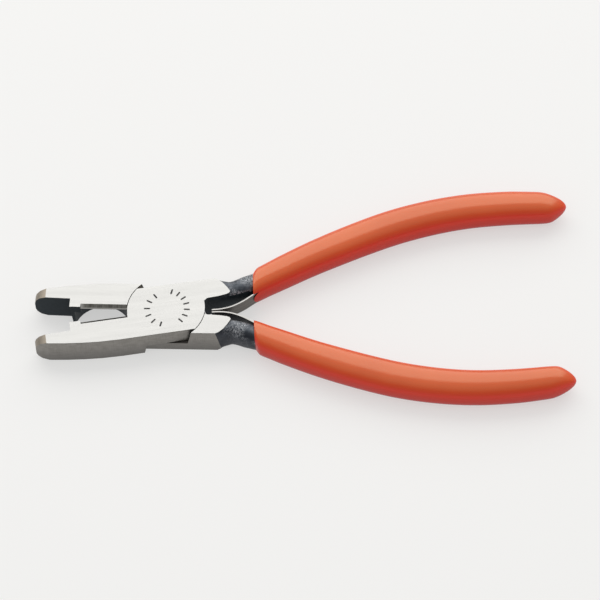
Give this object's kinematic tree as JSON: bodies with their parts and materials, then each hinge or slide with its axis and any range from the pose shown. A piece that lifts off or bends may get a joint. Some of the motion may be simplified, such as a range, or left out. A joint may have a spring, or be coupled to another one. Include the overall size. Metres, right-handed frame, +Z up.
{
  "type": "crimping pliers",
  "caption": "Small lap-joint pliers with a flat crimp mouth, a wire cutter behind it, opening leaf springs and dipped plastic grips.",
  "frame": {"origin": "on the pivot axis, at the flat underside on which the pliers lie", "axes": "+X along the tool towards the handles (jaws towards -X), +Z up through the joint, +Y towards the handle of lever a"},
  "size_m": [0.1537, 0.0716, 0.0084],
  "materials": {
    "forged_steel": "head ground bright with fine long scratches, neck left forge-black",
    "rivet_steel": "ground flush with the joint faces",
    "spring_steel": "rolled strip, bright sheared edges",
    "grip_vinyl": "dip-coated, satin"
  },
  "bodies": {
    "lever_a_body": {"lever_a": "forged_steel", "grip_a": "grip_vinyl", "pivot_rivet": "rivet_steel", "spring_rivet_a": "rivet_steel"},
    "lever_b_body": {"lever_b": "forged_steel", "grip_b": "grip_vinyl", "spring_rivet_b": "rivet_steel"},
    "leaf_a_body": {"leaf_spring_a": "spring_steel"},
    "leaf_b_body": {"leaf_spring_b": "spring_steel"}
  },
  "joints": [
    {"name": "pivot", "type": "hinge", "parent": "lever_a_body", "child": "lever_b_body", "pos_m": [0, 0, 0.0042], "axis": [0, 0, 1], "range_deg": [-4, 11], "stiffness_Nm_per_rad": 3},
    {"name": "leaf_a_flex", "type": "hinge", "parent": "lever_a_body", "child": "leaf_a_body", "pos_m": [0.0292, 0.00745, 0.0042], "axis": [0, 0, 1], "range_deg": [-5.5, 2.2]},
    {"name": "leaf_b_flex", "type": "hinge", "parent": "lever_b_body", "child": "leaf_b_body", "pos_m": [0.0292, -0.00805, 0.0042], "axis": [0, 0, 1], "range_deg": [-2.2, 5.5]}
  ],
  "couplings": [
    {"joint": "leaf_a_flex", "follows": "pivot", "ratio": -0.48},
    {"joint": "leaf_b_flex", "follows": "pivot", "ratio": 0.48}
  ]
}
